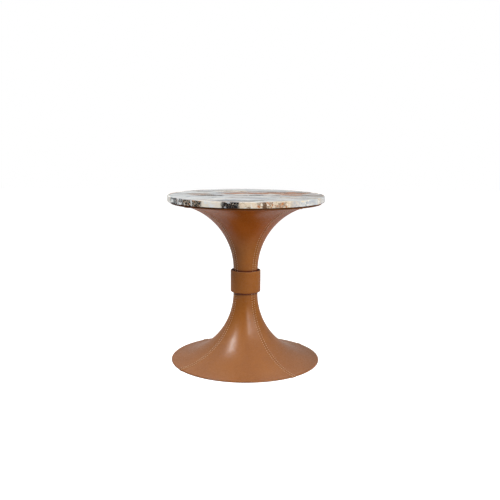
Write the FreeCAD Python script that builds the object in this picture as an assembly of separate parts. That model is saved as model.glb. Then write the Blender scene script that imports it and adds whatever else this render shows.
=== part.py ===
import FreeCAD, Part
import math
import os
from FreeCAD import Vector

os.makedirs("parts", exist_ok=True)

# A round corner table: a stone disc on two like trumpets that meet neck to neck inside a collar.
# Each trumpet is a spun steel shell dressed in four sewn leather gores. One tie rod clamps the stack.
# Lengths are in millimetres and angles in degrees. The floor is at zero and the axis of the table is Z.

# The whole table
table_height = 540.0
stone_diameter = 500.0
stone_thickness = 18.0
stone_arris = 1.2             # eased edge of the stone, top and bottom
stone_gap = 1.6               # shadow gap between the upper rim and the stone
floor_gap = 0.5               # the lower rim clears the floor by this much

# The trumpets
rim_radius = 241.5
neck_radius = 39.4            # over the leather
flare_radius = 217.0          # of the hollow curve, over the leather
shell_wall = 2.0
leather = 1.3                 # thickness of the hide, on the gores and on the collar
glue_line = 0.15
turn_under = 14.0             # how far the hide is turned in behind the rim
lower_seam_turns = (38.0, 126.0, 213.5, 308.0)     # where the seams lie, from the X axis
upper_seam_turns = (42.0, 132.0, 222.0, 312.0)

# The collar
collar_radius = 48.6
collar_height = 71.0
collar_lift = 2.2             # the collar stands a little above the joint of the two necks
collar_wall = 2.4
collar_turn_in = 12.0         # how far the hide is turned into the collar at both ends
web_thickness = 6.0           # the collar's web, clamped between the necks

# The hubs that close the necks
hub_length = 24.0
hub_web = 10.0
hub_skirt = 4.0
hub_boss_radius = 14.0
hub_boss_length = 20.0
hub_fit = 0.1

# Pins that keep the seams in line across the web
pin_radius = 3.0
pin_depth = 8.0
pin_orbit = 23.0
pin_count = 2
pin_fit = 0.1
pin_end_gap = 0.5

# The tie rod with its nuts and washers
rod_radius = 6.0
rod_fit = 0.5
nut_across_flats = 18.0
nut_height = 10.0
nut_chamfer = 1.2
thread_fit = 0.1
washer_radius = 18.0
washer_thickness = 3.0
thread_stand = 1.0            # rod end beyond the nut
socket_margin = 4.0           # room round the washer in its counterbore
socket_floor_gap = 1.5        # the rod end stays this far below the face

# The plywood board in the upper mouth
board_thickness = 24.0
board_edge = 3.5              # straight side of the board, at its face
board_gap = 10.0              # between the board and the turned edge of the hide
seat_fit = 0.2                # between the flare and what sits in it

# The discs that carry the stone
stone_pad_radius = 14.0
stone_pad_thickness = 2.4
stone_pad_inset = 42.0        # from the edge of the board
stone_pad_count = 8

# The cast ballast in the lower mouth
ballast_thickness = 24.0
ballast_edge = 2.7            # straight side of the casting, at its face
ballast_gap = 15.0            # between the casting and the turned edge of the hide
ballast_wall = 13.0           # left between the pockets and the flare
ballast_boss_radius = 42.0
ballast_rib = 10.0
ballast_ribs = 6
pocket_depth = 12.0

# The cover under the ballast
cover_recess = 1.6
cover_thickness = 2.0
cover_gap = 1.5
screw_inset = 57.0            # from the edge of the ballast
screw_count = 6
screw_radius = 2.0
screw_length = 10.0
screw_head_radius = 3.8
screw_head_height = 1.6
screw_fit = 0.1
screw_tip_gap = 1.0

# The pads on the floor
floor_pad_radius = 14.0
floor_pad_inset = 28.0        # from the edge of the cover
floor_pad_count = 8

overrun = 2.0                 # how far a cut runs past a face

# Worked out from the sizes above
full_turn = 360.0
quarter_turn = 90.0
hexagon = 6
half_turn = 180.0
rim_thickness = shell_wall + 2 * (leather + glue_line)
flare_centre = neck_radius + flare_radius
flare_middle = flare_radius + rim_thickness / 2
rim_turn = math.degrees(math.acos((flare_centre + rim_thickness / 2 - rim_radius) / flare_middle))
lowest_turn = min(rim_turn, quarter_turn)
flare_level = flare_middle * math.sin(math.radians(lowest_turn)) + rim_thickness / 2
shell_outside = flare_radius + leather + glue_line
shell_inside = shell_outside + shell_wall
hide_back = flare_radius + leather
fold_front = shell_inside + glue_line
fold_back = flare_radius + rim_thickness
seat_curve = shell_inside + seat_fit
fold_turn = rim_turn - math.degrees(turn_under / fold_back)
fold_edge = flare_centre - fold_back * math.cos(math.radians(fold_turn))
lower_rim_level = floor_gap
upper_rim_level = table_height - stone_thickness - stone_gap
joint_level = (lower_rim_level + upper_rim_level) / 2
neck_end = (upper_rim_level - lower_rim_level - web_thickness) / 2
hub_radius = flare_centre - shell_inside - hub_fit
rod_bore = rod_radius + rod_fit
pin_bore = pin_radius + pin_fit
socket_radius = washer_radius + socket_margin
socket_depth = washer_thickness + nut_height + thread_stand + socket_floor_gap
ballast_face = cover_recess + cover_thickness
ballast_back = ballast_face + ballast_thickness
board_face = stone_pad_thickness - stone_gap
board_back = board_face + board_thickness

# The two halves of the stand: the level of the rim, and which way the trumpet runs from it
lower_half = (lower_rim_level, 1)
upper_half = (upper_rim_level, -1)


def spot(radius, height, half):
    """A point of an outline, at a height that counts from the rim into the trumpet."""
    level, way = half
    return Vector(radius, 0, level + way * height)


def flare_spot(distance, turn, half):
    """A point at a distance from the centre of the flare, turned from the neck towards the rim."""
    angle = math.radians(turn)
    return spot(flare_centre - distance * math.cos(angle), flare_level - distance * math.sin(angle), half)


def line(start, end):
    return Part.LineSegment(start, end).toShape()


def flare(distance, start_turn, end_turn, half):
    """A stretch of the flare's curve, or of one parallel to it."""
    start = flare_spot(distance, start_turn, half)
    middle = flare_spot(distance, (start_turn + end_turn) / 2, half)
    end = flare_spot(distance, end_turn, half)
    return Part.Arc(start, middle, end).toShape()


def rim_cap(front, back, half):
    """The half round that joins two parallel curves at the rim."""
    start = flare_spot(front, rim_turn, half)
    end = flare_spot(back, rim_turn, half)
    middle_radius = (front + back) / 2
    reach = abs(back - front) / 2
    centre = flare_spot(middle_radius, rim_turn, half)
    angle = math.radians(rim_turn)
    outward = Vector(math.sin(angle), 0, -half[1] * math.cos(angle))
    return Part.Arc(start, centre + outward * reach, end).toShape()


def revolved(edges, sweep=full_turn, start=0.0):
    """The solid that a closed outline sweeps round the axis."""
    face = Part.Face(Part.Wire(edges))
    solid = face.revolve(Vector(0, 0, 0), Vector(0, 0, 1), sweep)
    solid.rotate(Vector(0, 0, 0), Vector(0, 0, 1), start)
    return solid


def turned(points):
    """A solid of revolution with straight sides."""
    closed = points + points[:1]
    return revolved([line(a, b) for a, b in zip(closed, closed[1:])])


def disc(radius, low, high):
    return Part.makeCylinder(radius, high - low, Vector(0, 0, low))


def round_edges(solid):
    return [edge for edge in solid.Edges if edge.Curve.TypeId == "Part::GeomCircle"]


def around(solid, count, orbit, start=0.0):
    """Copies of a solid, evenly spaced on a circle round the axis."""
    copies = []
    for place in range(count):
        copy = solid.copy()
        copy.translate(Vector(orbit, 0, 0))
        copy.rotate(Vector(0, 0, 0), Vector(0, 0, 1), start + place * full_turn / count)
        copies.append(copy)
    return copies


def level_of(height, half):
    level, way = half
    return level + way * height


def span(first, last, half):
    """The low and high levels between two heights of one half."""
    return sorted((level_of(first, half), level_of(last, half)))


def radius_on_flare(distance, height):
    """Where a curve parallel to the flare passes a height above the rim."""
    rise = flare_level - height
    return flare_centre - math.sqrt(distance ** 2 - rise ** 2)


def turn_on_flare(distance, height):
    return math.degrees(math.asin((flare_level - height) / distance))


def turn_at_radius(distance, radius):
    return math.degrees(math.acos((flare_centre - radius) / distance))


def save(name, shape):
    shape.exportStep("parts/" + name + ".step")


def stone_top():
    """The stone disc, with its sharp edges eased."""
    solid = disc(stone_diameter / 2, table_height - stone_thickness, table_height)
    return solid.makeFillet(stone_arris, round_edges(solid))


def stone_pads():
    """Soft discs between the board and the stone."""
    stone_bottom = table_height - stone_thickness
    pad = disc(stone_pad_radius, stone_bottom - stone_pad_thickness, stone_bottom)
    return Part.Compound(around(pad, stone_pad_count, board_radius() - stone_pad_inset))


def shell(half):
    """The spun shell of one trumpet: a straight neck, the flare and a rounded rim."""
    outer_neck = flare_centre - shell_outside
    inner_neck = flare_centre - shell_inside
    return revolved([
        line(spot(outer_neck, neck_end, half), flare_spot(shell_outside, 0, half)),
        flare(shell_outside, 0, rim_turn, half),
        rim_cap(shell_outside, shell_inside, half),
        flare(shell_inside, rim_turn, 0, half),
        line(flare_spot(shell_inside, 0, half), spot(inner_neck, neck_end, half)),
        line(spot(inner_neck, neck_end, half), spot(outer_neck, neck_end, half)),
    ])


def leather_gore(half, start, end):
    """The hide between two seams: down the neck, out along the flare, round the rim and in behind it."""
    back_neck = flare_centre - hide_back
    outline = [
        line(spot(neck_radius, neck_end, half), flare_spot(flare_radius, 0, half)),
        flare(flare_radius, 0, rim_turn, half),
        rim_cap(flare_radius, fold_back, half),
        flare(fold_back, rim_turn, fold_turn, half),
        line(flare_spot(fold_back, fold_turn, half), flare_spot(fold_front, fold_turn, half)),
        flare(fold_front, fold_turn, rim_turn, half),
        rim_cap(fold_front, hide_back, half),
        flare(hide_back, rim_turn, 0, half),
        line(flare_spot(hide_back, 0, half), spot(back_neck, neck_end, half)),
        line(spot(back_neck, neck_end, half), spot(neck_radius, neck_end, half)),
    ]
    return revolved(outline, end - start, start)


def pin_holes(low, high):
    return around(disc(pin_bore, low, high), pin_count, pin_orbit)


def hub(half):
    """A cup that closes the end of a neck: a skirt in the shell, a web and a boss round the rod."""
    face = neck_end
    web_back = face - hub_web
    skirt_radius = hub_radius - hub_skirt
    solid = turned([
        spot(rod_bore, face, half),
        spot(hub_radius, face, half),
        spot(hub_radius, face - hub_length, half),
        spot(skirt_radius, face - hub_length, half),
        spot(skirt_radius, web_back, half),
        spot(hub_boss_radius, web_back, half),
        spot(hub_boss_radius, face - hub_boss_length, half),
        spot(rod_bore, face - hub_boss_length, half),
    ])
    low, high = span(face + overrun, face - pin_depth - pin_end_gap, half)
    return solid.cut(pin_holes(low, high))


def collar_sizes():
    """Radii of the ring's two walls, and the levels of the collar's two ends."""
    outside = collar_radius - leather - glue_line
    inside = outside - collar_wall
    middle = joint_level + collar_lift
    return outside, inside, middle - collar_height / 2, middle + collar_height / 2


def ring_end(front, back, level, way):
    """A half round over the end of the collar's wall."""
    reach = abs(front - back) / 2
    centre = (front + back) / 2
    start = Vector(front, 0, level)
    return Part.Arc(start, Vector(centre, 0, level + way * reach), Vector(back, 0, level)).toShape()


def collar_ring():
    """The turned ring behind the collar's hide, with the web that the necks clamp."""
    outside, inside, low, high = collar_sizes()
    fold = collar_wall / 2 + glue_line + leather
    web_low = joint_level - web_thickness / 2
    web_high = joint_level + web_thickness / 2
    wall = revolved([
        line(Vector(outside, 0, low + fold), Vector(outside, 0, high - fold)),
        ring_end(outside, inside, high - fold, 1),
        line(Vector(inside, 0, high - fold), Vector(inside, 0, low + fold)),
        ring_end(inside, outside, low + fold, -1),
    ])
    web = disc((outside + inside) / 2, web_low, web_high)
    cut_low = web_low - overrun
    cut_high = web_high + overrun
    bores = pin_holes(cut_low, cut_high) + [disc(rod_bore, cut_low, cut_high)]
    return wall.fuse(web).cut(bores).removeSplitter()


def collar_leather():
    """The hide of the collar: round the outside, over both ends and a little way in."""
    outside, inside, low, high = collar_sizes()
    back = outside + glue_line
    fold_face = inside - glue_line
    fold_inside = fold_face - leather
    fold = (collar_radius - fold_inside) / 2
    top_end = high - fold
    low_end = low + fold
    top_edge = top_end - collar_turn_in
    low_edge = low_end + collar_turn_in
    return revolved([
        line(Vector(collar_radius, 0, low_end), Vector(collar_radius, 0, top_end)),
        ring_end(collar_radius, fold_inside, top_end, 1),
        line(Vector(fold_inside, 0, top_end), Vector(fold_inside, 0, top_edge)),
        line(Vector(fold_inside, 0, top_edge), Vector(fold_face, 0, top_edge)),
        line(Vector(fold_face, 0, top_edge), Vector(fold_face, 0, top_end)),
        ring_end(fold_face, back, top_end, 1),
        line(Vector(back, 0, top_end), Vector(back, 0, low_end)),
        ring_end(back, fold_face, low_end, -1),
        line(Vector(fold_face, 0, low_end), Vector(fold_face, 0, low_edge)),
        line(Vector(fold_face, 0, low_edge), Vector(fold_inside, 0, low_edge)),
        line(Vector(fold_inside, 0, low_edge), Vector(fold_inside, 0, low_end)),
        ring_end(fold_inside, collar_radius, low_end, -1),
    ])


def locating_pins():
    reach = web_thickness / 2 + pin_depth
    pin = disc(pin_radius, joint_level - reach, joint_level + reach)
    return Part.Compound(around(pin, pin_count, pin_orbit))


def washer(seat, half):
    """A washer on a seat that faces out of the mouth of the trumpet."""
    low, high = span(seat, seat - washer_thickness, half)
    return disc(washer_radius, low, high).cut(disc(rod_bore, low - overrun, high + overrun))


def nut(seat, half):
    """A hexagon nut with its corners chamfered."""
    low, high = span(seat, seat - nut_height, half)
    corner = nut_across_flats / 2 / math.cos(math.pi / hexagon)
    corners = []
    for place in range(hexagon + 1):
        angle = 2 * math.pi * place / hexagon
        corners.append(Vector(corner * math.cos(angle), corner * math.sin(angle), low))
    prism = Part.Face(Part.makePolygon(corners)).extrude(Vector(0, 0, nut_height))
    blank = turned([
        Vector(0, 0, low),
        Vector(corner - nut_chamfer, 0, low),
        Vector(corner, 0, low + nut_chamfer / 2),
        Vector(corner, 0, high - nut_chamfer / 2),
        Vector(corner - nut_chamfer, 0, high),
        Vector(0, 0, high),
    ])
    return prism.common(blank).cut(disc(rod_radius + thread_fit, low - overrun, high + overrun))


def rod_seats():
    """Heights above each rim at which the lower and the upper washer sit."""
    return ballast_face + socket_depth, board_face + socket_depth


def tie_rod():
    ballast_seat, board_seat = rod_seats()
    beyond = washer_thickness + nut_height + thread_stand
    low = level_of(ballast_seat - beyond, lower_half)
    high = level_of(board_seat - beyond, upper_half)
    rod = disc(rod_radius, low, high)
    return rod.makeChamfer(thread_stand / 2, round_edges(rod))


def plug_radius(face, edge, gap):
    """How wide a disc in the mouth can be, clear of the turned hide and with its side on the flare."""
    return min(fold_edge - gap, radius_on_flare(seat_curve, face + edge))


def board_radius():
    return plug_radius(board_face, board_edge, board_gap)


def ballast_radius():
    return plug_radius(ballast_face, ballast_edge, ballast_gap)


def cover_radius():
    return plug_radius(cover_recess, cover_thickness, cover_gap)


def seated_plug(face, back, edge_radius, half):
    """A disc whose side follows the flare that it sits in."""
    edge_turn = turn_at_radius(seat_curve, edge_radius)
    back_turn = turn_on_flare(seat_curve, back)
    return revolved([
        line(spot(0, face, half), spot(edge_radius, face, half)),
        line(spot(edge_radius, face, half), flare_spot(seat_curve, edge_turn, half)),
        flare(seat_curve, edge_turn, back_turn, half),
        line(flare_spot(seat_curve, back_turn, half), spot(0, back, half)),
        line(spot(0, back, half), spot(0, face, half)),
    ])


def rod_socket(face, back, half):
    """The counterbore for the washer and the nut, and the bore for the rod behind it."""
    socket_low, socket_high = span(face - overrun, face + socket_depth, half)
    bore_low, bore_high = span(face, back + overrun, half)
    return [disc(socket_radius, socket_low, socket_high), disc(rod_bore, bore_low, bore_high)]


def top_board():
    """The plywood board in the upper mouth, which bears on the flare all round."""
    plug = seated_plug(board_face, board_back, board_radius(), upper_half)
    return plug.cut(rod_socket(board_face, board_back, upper_half))


def ballast_pockets():
    """The hollows between the ribs, on the side of the ballast that faces the neck."""
    outer = radius_on_flare(seat_curve, ballast_back) - ballast_wall
    low, high = span(ballast_back - pocket_depth, ballast_back + overrun, lower_half)
    hollow = disc(outer, low, high).cut(disc(ballast_boss_radius, low, high))
    rib = Part.makeBox(outer, ballast_rib, high - low, Vector(0, -ballast_rib / 2, low))
    return hollow.cut(around(rib, ballast_ribs, 0))


def ballast_plate():
    """The casting that holds the table down: a plug in the lower mouth with ribs and a boss."""
    solid = seated_plug(ballast_face, ballast_back, ballast_radius(), lower_half)
    solid = solid.cut(rod_socket(ballast_face, ballast_back, lower_half)).cut(ballast_pockets())
    low, high = span(ballast_face - overrun, ballast_face + screw_length + screw_tip_gap, lower_half)
    return solid.cut(at_screws(disc(screw_radius + screw_fit, low, high)))


def at_screws(solid):
    """A copy of a solid at each screw of the cover, between the ribs' ends."""
    return around(solid, screw_count, ballast_radius() - screw_inset, half_turn / screw_count)


def screw(margin, tip):
    """A countersunk screw that points up, its head level with the face of the cover."""
    face = level_of(cover_recess, lower_half)
    sink = face + screw_head_height
    return turned([
        Vector(0, 0, face),
        Vector(screw_head_radius + margin, 0, face),
        Vector(screw_radius + margin, 0, sink),
        Vector(screw_radius + margin, 0, tip),
        Vector(0, 0, tip),
    ])


def cover_screws():
    tip = level_of(ballast_face + screw_length, lower_half)
    return Part.Compound(at_screws(screw(0, tip)))


def base_cover():
    """The thin disc that closes the lower mouth inside the turned edge of the hide."""
    low, high = span(cover_recess, ballast_face, lower_half)
    return disc(cover_radius(), low, high).cut(at_screws(screw(screw_fit, high + overrun)))


def floor_pads():
    pad = disc(floor_pad_radius, 0, level_of(cover_recess, lower_half))
    return Part.Compound(around(pad, floor_pad_count, cover_radius() - floor_pad_inset))


def save_trumpet(name, half, seam_turns):
    save(name + "_shell", shell(half))
    save(name + "_hub", hub(half))
    ends = seam_turns[1:] + (seam_turns[0] + full_turn,)
    for place, (start, end) in enumerate(zip(seam_turns, ends)):
        save(name + "_leather_gore_" + str(place + 1), leather_gore(half, start, end))


def save_rod_ends():
    ballast_seat, board_seat = rod_seats()
    save("base_washer", washer(ballast_seat, lower_half))
    save("base_nut", nut(ballast_seat - washer_thickness, lower_half))
    save("top_washer", washer(board_seat, upper_half))
    save("top_nut", nut(board_seat - washer_thickness, upper_half))


save("stone_top", stone_top())
save("stone_pads", stone_pads())
save("top_board", top_board())
save_trumpet("upper", upper_half, upper_seam_turns)
save("collar_ring", collar_ring())
save("collar_leather", collar_leather())
save("locating_pins", locating_pins())
save_trumpet("lower", lower_half, lower_seam_turns)
save("tie_rod", tie_rod())
save_rod_ends()
save("ballast_plate", ballast_plate())
save("base_cover", base_cover())
save("cover_screws", cover_screws())
save("floor_pads", floor_pads())
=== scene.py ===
# Looks of the corner table: sewn hide on two trumpets, a wrapped collar and a slab of mosaic stone.
import math
import random

import bmesh
import bpy
import numpy as np
from mathutils import Matrix, Vector, noise


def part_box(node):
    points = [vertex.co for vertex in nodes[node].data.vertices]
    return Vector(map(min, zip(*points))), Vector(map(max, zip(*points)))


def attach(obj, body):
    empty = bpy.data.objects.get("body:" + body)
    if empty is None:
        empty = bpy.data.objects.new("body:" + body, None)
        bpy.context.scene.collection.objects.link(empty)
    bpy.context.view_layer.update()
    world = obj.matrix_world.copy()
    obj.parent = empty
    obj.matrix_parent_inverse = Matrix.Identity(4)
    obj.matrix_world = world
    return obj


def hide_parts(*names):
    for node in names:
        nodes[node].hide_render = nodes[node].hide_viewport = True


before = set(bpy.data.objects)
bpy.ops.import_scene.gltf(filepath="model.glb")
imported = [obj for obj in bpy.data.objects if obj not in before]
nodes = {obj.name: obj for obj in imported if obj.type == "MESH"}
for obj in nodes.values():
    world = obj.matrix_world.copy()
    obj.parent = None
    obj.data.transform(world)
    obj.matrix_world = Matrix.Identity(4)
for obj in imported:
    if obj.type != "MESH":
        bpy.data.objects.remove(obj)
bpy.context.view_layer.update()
millimetre = 0.001
print("frame loaded,", len(nodes), "nodes")

halves = ("lower", "upper")
goreNames = {half: [half + "_leather_gore_" + str(count) for count in (1, 2, 3, 4)] for half in halves}


def boxOf(names):
    # the low and the high corner round all the nodes named
    corners = [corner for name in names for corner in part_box(name)]
    low = Vector([min(corner[axis] for corner in corners) for axis in range(3)])
    high = Vector([max(corner[axis] for corner in corners) for axis in range(3)])
    return low, high


# camera, as the photograph was taken: 2.25 m off and a little above the table
cameraSettings = {
    "distance": 2.250,
    "height": 0.7338,
    "lookDown": 9.379,  # degrees
    "lookRight": 0.350,
    "tilt": 0.424,
    "lens": 50.835,
    "sensor": 36.0,
}


def makeCamera(settings):
    data = bpy.data.cameras.new("tableCamera")
    data.lens = settings["lens"]
    data.sensor_width = settings["sensor"]
    camera = bpy.data.objects.new("tableCamera", data)
    bpy.context.scene.collection.objects.link(camera)
    aim = Matrix.Rotation(-math.radians(settings["lookRight"]), 4, "Z")
    aim = aim @ Matrix.Rotation(math.radians(90 - settings["lookDown"]), 4, "X")
    aim = aim @ Matrix.Rotation(math.radians(settings["tilt"]), 4, "Z")
    camera.matrix_world = Matrix.Translation((0, -settings["distance"], settings["height"])) @ aim
    bpy.context.scene.camera = camera


makeCamera(cameraSettings)
print("camera placed")


# materials are built from these small helpers
noiseRange = (0.3, 0.7)  # noise seldom leaves it


def startMaterial(name, roughness=0.5, metallic=0.0):
    material = bpy.data.materials.new(name)
    material.use_nodes = True
    shader = material.node_tree.nodes["Principled BSDF"]
    shader.inputs["Roughness"].default_value = roughness
    shader.inputs["Metallic"].default_value = metallic
    return material, material.node_tree, shader


def addNode(tree, kind, inputs=None, **settings):
    made = tree.nodes.new(kind)
    for key, value in settings.items():
        setattr(made, key, value)
    for key, value in (inputs or {}).items():
        if isinstance(value, bpy.types.NodeSocket):
            tree.links.new(value, made.inputs[key])
        else:
            made.inputs[key].default_value = value
    return made


def place(tree, stretch=None, turn=0.0):
    # the table's own coordinates, in metres, stretched or turned about Z if asked
    spot = addNode(tree, "ShaderNodeTexCoord").outputs["Object"]
    if stretch is None:
        return spot
    inputs = {"Vector": spot, "Scale": stretch, "Rotation": (0, 0, math.radians(turn))}
    return addNode(tree, "ShaderNodeMapping", inputs).outputs["Vector"]


def noiseField(tree, spot, scale, detail=3.0, rough=0.55, warp=0.0):
    inputs = {"Vector": spot, "Scale": scale, "Detail": detail, "Roughness": rough, "Distortion": warp}
    return addNode(tree, "ShaderNodeTexNoise", inputs).outputs["Fac"]


def cells(tree, spot, scale, feature="F1", output="Distance"):
    made = addNode(tree, "ShaderNodeTexVoronoi", {"Vector": spot, "Scale": scale}, feature=feature)
    return made.outputs[output]


def remap(tree, value, low, high, start=0.0, end=1.0):
    inputs = {"Value": value, "From Min": low, "From Max": high, "To Min": start, "To Max": end}
    return addNode(tree, "ShaderNodeMapRange", inputs, interpolation_type="SMOOTHSTEP").outputs["Result"]


def combine(tree, operation, first, second=0.0):
    return addNode(tree, "ShaderNodeMath", {0: first, 1: second}, operation=operation).outputs[0]


def blendColour(tree, share, first, second, mode="MIX"):
    made = addNode(tree, "ShaderNodeMix", data_type="RGBA", blend_type=mode)
    for index, value in ((0, share), (6, first), (7, second)):
        if isinstance(value, bpy.types.NodeSocket):
            tree.links.new(value, made.inputs[index])
        else:
            made.inputs[index].default_value = value if index == 0 else (*value, 1)
    return made.outputs[2]


def layOver(tree, mask, strength, colour, over):
    return blendColour(tree, combine(tree, "MULTIPLY", mask, strength), colour, over)


def ramp(tree, value, stops, kind="LINEAR"):
    made = addNode(tree, "ShaderNodeValToRGB", {"Fac": value})
    made.color_ramp.interpolation = kind
    elements = made.color_ramp.elements
    while len(elements) < len(stops):
        elements.new(0.5)
    for element, (position, colour) in zip(elements, stops):
        element.position = position
        element.color = (*colour, 1)
    return made.outputs["Color"]


def split(tree, vector):
    return addNode(tree, "ShaderNodeSeparateXYZ", {"Vector": vector}).outputs


def join(tree, x, y, z=0.0):
    return addNode(tree, "ShaderNodeCombineXYZ", {"X": x, "Y": y, "Z": z}).outputs[0]


def lengthOf(tree, vector):
    return addNode(tree, "ShaderNodeVectorMath", {0: vector}, operation="LENGTH").outputs["Value"]


def facingUp(tree):
    # height of the normal: 1 faces up and -1 faces down
    return split(tree, addNode(tree, "ShaderNodeNewGeometry").outputs["Normal"])["Z"]


def fromAxis(tree, spot):
    # how far a place is from the axis of the table, and its three parts
    parts = split(tree, spot)
    return lengthOf(tree, join(tree, parts["X"], parts["Y"])), parts


def addBump(tree, shader, height, depth, strength=1.0, below=None):
    made = addNode(tree, "ShaderNodeBump", {"Height": height, "Distance": depth, "Strength": strength})
    if below:
        tree.links.new(below, made.inputs["Normal"])
    tree.links.new(made.outputs["Normal"], shader.inputs["Normal"])
    return made.outputs["Normal"]


def varyRoughness(tree, shader, value, spread):
    # the shader's roughness, from as much below as above it as spread says
    rough = shader.inputs["Roughness"]
    start, end = [rough.default_value + part for part in spread]
    tree.links.new(remap(tree, value, *noiseRange, start, end), rough)


# smooth saddle leather, full grain, satin
# here and below, a pair named Between holds the values that something fades between, and noise is given as
# its scale, detail, roughness and warp
leather = {
    "tan": (0.207, 0.0685, 0.0088),
    "brown": (0.180, 0.0567, 0.0067),
    # burnished spots by chance, and painted shade where the hide's darkening asks for it
    "burnished": (0.105, 0.0303, 0.0036),
    "paintedCollarShade": (0.070, 0.010, 0.001),  # painted shade beside the collar, where no light reaches
    "paintedSheen": (0.80, 0.78, 0.76),       # painted sheen: paler where it faces up, standing in for light from above reflected off the hide
    "paintedSheenShare": 0.032,
    "paintedSheenBetween": (0.2, 0.9),        # height of the normal
    "paintedDownShade": (1.22, 0.96, 0.96),      # painted shade: deeper and redder where it faces down, standing in for light bounced between the hides
    "paintedDownShadeBetween": (-0.7, -0.25),
    "clouds": (11, 4, 0.6, 0.4),
    "mottle": (90, 4, 0.65),
    "mottleShare": 0.38,               # the clouds have the rest
    "brownBetween": (0.36, 0.66),
    "collarDarker": 0.05,              # the collar turns brown that much sooner
    "speckle": (700, 2, 0.7),
    "speckleShare": 0.16,
    "speckleBetween": (0.55, 0.8),
    "roughness": (0.44, 0.54),
    "roughnessBetween": (0.35, 0.7),
    "gloss": 0.0,
    "wax": (0.19, 0.42),               # the film that gives the highlights, thin and thick in patches
    "waxBetween": (0.34, 0.66),
    "waxPatch": 4.8,                   # mm
    "waxIor": 1.5,
    "waxRoughness": 0.29,
    "poreSize": 1.1,                   # mm
    "poreDepth": 0.06,
    "poreStrength": 0.55,
    "creases": (260, 5, 0.7, 0.3),
    "creaseDepth": 0.12,               # mm
    "creaseStrength": 0.8,
}


def leatherMaterial(name, settings, darker=0.0):
    material, tree, shader = startMaterial(name)
    spot = place(tree)
    clouds = noiseField(tree, spot, *settings["clouds"])
    mottle = noiseField(tree, spot, *settings["mottle"])
    share = settings["mottleShare"]
    tone = combine(tree, "ADD", combine(tree, "MULTIPLY", clouds, 1 - share),
                   combine(tree, "MULTIPLY", mottle, share))
    low, high = settings["brownBetween"]
    colour = blendColour(tree, remap(tree, tone, low - darker, high - darker), settings["tan"], settings["brown"])
    speckle = noiseField(tree, spot, *settings["speckle"])
    speckle = remap(tree, speckle, *settings["speckleBetween"], 0, settings["speckleShare"])
    colour = blendColour(tree, speckle, colour, settings["burnished"])
    # painted sheen on what faces up, and painted shade on what faces down
    up = facingUp(tree)
    paintedSheen = remap(tree, up, *settings["paintedSheenBetween"], 0, settings["paintedSheenShare"])
    colour = blendColour(tree, paintedSheen, colour, settings["paintedSheen"])
    paintedDownShade = remap(tree, up, *settings["paintedDownShadeBetween"], 1, 0)
    colour = blendColour(tree, paintedDownShade, colour, settings["paintedDownShade"], "MULTIPLY")
    # each piece of hide carries its darkening: up to 1 it turns burnished, for worn edges and for painted shade,
    # and from 1 to 2 it turns to the painted shade beside the collar
    burnish = addNode(tree, "ShaderNodeAttribute", attribute_name="burnish").outputs["Fac"]
    colour = blendColour(tree, burnish, colour, settings["burnished"])
    colour = blendColour(tree, remap(tree, burnish, 1, 2), colour, settings["paintedCollarShade"])
    tree.links.new(colour, shader.inputs["Base Color"])
    rough = remap(tree, mottle, *settings["roughnessBetween"], *settings["roughness"])
    tree.links.new(rough, shader.inputs["Roughness"])
    pores = cells(tree, spot, 1000 / settings["poreSize"])
    fine = addBump(tree, shader, pores, settings["poreDepth"] * millimetre, settings["poreStrength"])
    creases = noiseField(tree, spot, *settings["creases"])
    bumped = addBump(tree, shader, creases, settings["creaseDepth"] * millimetre, settings["creaseStrength"], fine)
    shader.inputs["Specular IOR Level"].default_value = settings["gloss"]
    patches = noiseField(tree, spot, 1000 / settings["waxPatch"], 3, 0.7)
    tree.links.new(remap(tree, patches, *settings["waxBetween"], *settings["wax"]), shader.inputs["Coat Weight"])
    shader.inputs["Coat IOR"].default_value = settings["waxIor"]
    shader.inputs["Coat Roughness"].default_value = settings["waxRoughness"]
    tree.links.new(bumped, shader.inputs["Coat Normal"])
    return material


hideMaterial = leatherMaterial("saddleLeather", leather)
collarMaterial = leatherMaterial("collarLeather", leather, leather["collarDarker"])


# waxed linen thread
thread = {
    "light": (0.47, 0.35, 0.22),
    "dark": (0.34, 0.23, 0.13),
    "darkUpTo": 0.5,
    "lay": 260.0,      # how close the strands lie
    "layWarp": 2.0,
    "layDepth": 0.08,  # mm
    "layStrength": 0.6,
    "soilScale": 60,
    "soilShare": 0.5,
    "soilBetween": (0.5, 0.8),
    "roughness": 0.6,
}


def threadMaterial(settings):
    material, tree, shader = startMaterial("linenThread", settings["roughness"])
    spot = place(tree)
    inputs = {"Vector": spot, "Scale": settings["lay"], "Distortion": settings["layWarp"]}
    lay = addNode(tree, "ShaderNodeTexWave", inputs, bands_direction="DIAGONAL").outputs["Fac"]
    colour = blendColour(tree, remap(tree, lay, 0, settings["darkUpTo"]), settings["dark"], settings["light"])
    soil = noiseField(tree, spot, settings["soilScale"])
    soil = remap(tree, soil, *settings["soilBetween"], 0, settings["soilShare"])
    colour = blendColour(tree, soil, colour, settings["dark"])
    tree.links.new(colour, shader.inputs["Base Color"])
    addBump(tree, shader, lay, settings["layDepth"] * millimetre, settings["layStrength"])
    return material


threadFinish = threadMaterial(thread)
print("leather and thread ready")


# a strip of hide in section: its face, its back and how far along it each pair of points lies
class Outline:
    def __init__(self, face, back):
        self.face = np.array(face)
        self.back = np.array(back)
        self.normal = self.face - self.back
        self.normal /= np.linalg.norm(self.normal, axis=1)[:, None]
        steps = np.linalg.norm(np.diff(self.face, axis=0), axis=1)
        self.along = np.concatenate(([0], np.cumsum(steps)))
        self.length = self.along[-1]

    def at(self, along):
        # radius, height and the two parts of the normal at a distance along the strip
        return [np.interp(along, self.along, column) for column in (*self.face.T, *self.normal.T)]


def halfRound(centre, first, through, faceRadius, backRadius, rows):
    # the strip turns from first round to its opposite, by way of through
    for swing in np.linspace(0, math.pi, rows + 1)[1:]:
        reach = Vector(first) * math.cos(swing) + Vector(through) * math.sin(swing)
        yield Vector(centre) + reach * faceRadius, Vector(centre) + reach * backRadius


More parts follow.
